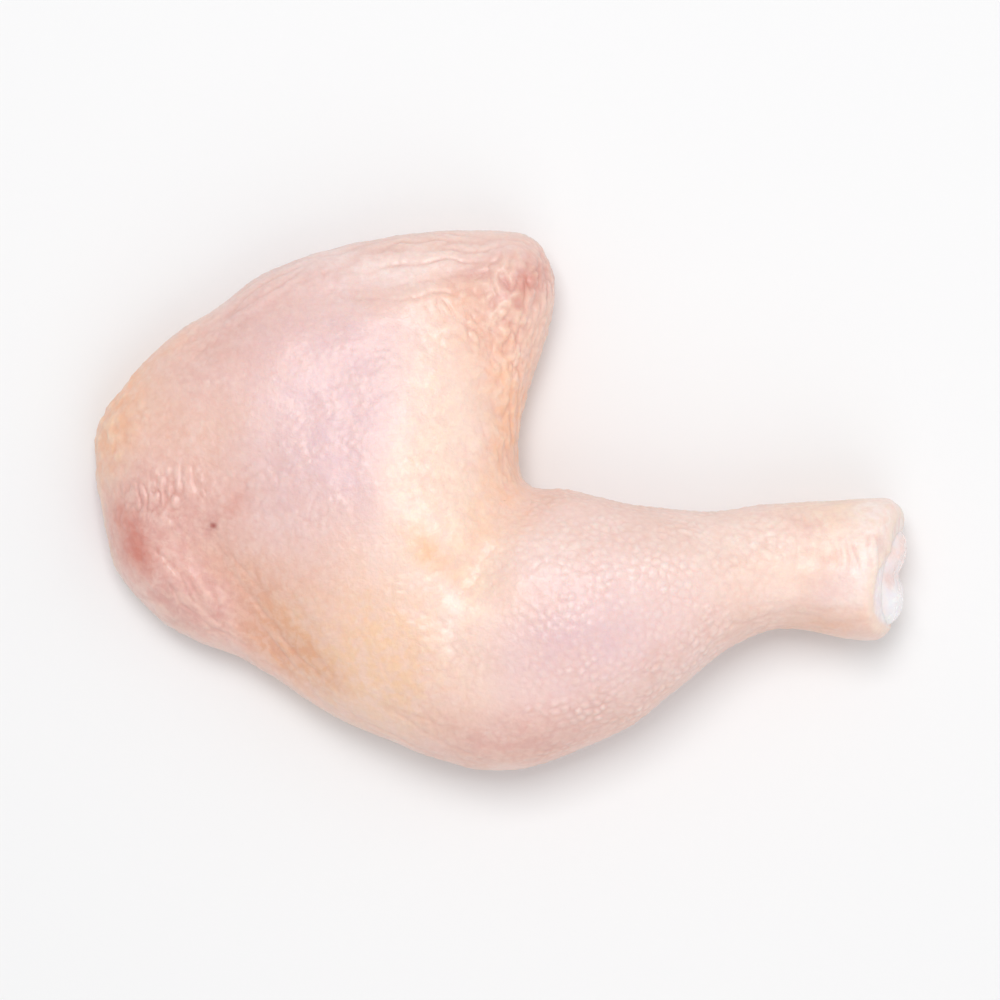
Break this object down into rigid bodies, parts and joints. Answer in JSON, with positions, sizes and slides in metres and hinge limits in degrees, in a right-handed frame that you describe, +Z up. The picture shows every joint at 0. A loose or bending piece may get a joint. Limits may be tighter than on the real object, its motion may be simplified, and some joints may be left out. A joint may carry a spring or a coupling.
{
  "type": "raw chicken leg quarter",
  "caption": "Raw chicken leg quarter with skin on, folded at the knee, lying skin side up, with the white joint cap of the shank bone in its cut hock.",
  "frame": {"origin": "middle of the underside that the leg quarter rests on", "axes": "+X from the hip end of the thigh to the hock end of the drumstick, +Y towards the side that the leg folds to, +Z up out of the skin side"},
  "size_m": [0.2014, 0.1344, 0.0443],
  "materials": {
    "skin": "moist raw poultry skin, pale peach and pink, with yellow fat under it",
    "bone": "wet bluish-white joint cartilage"
  },
  "bodies": {
    "root": {"leg_quarter": "skin", "shank_bone": "bone"}
  },
  "joints": []
}
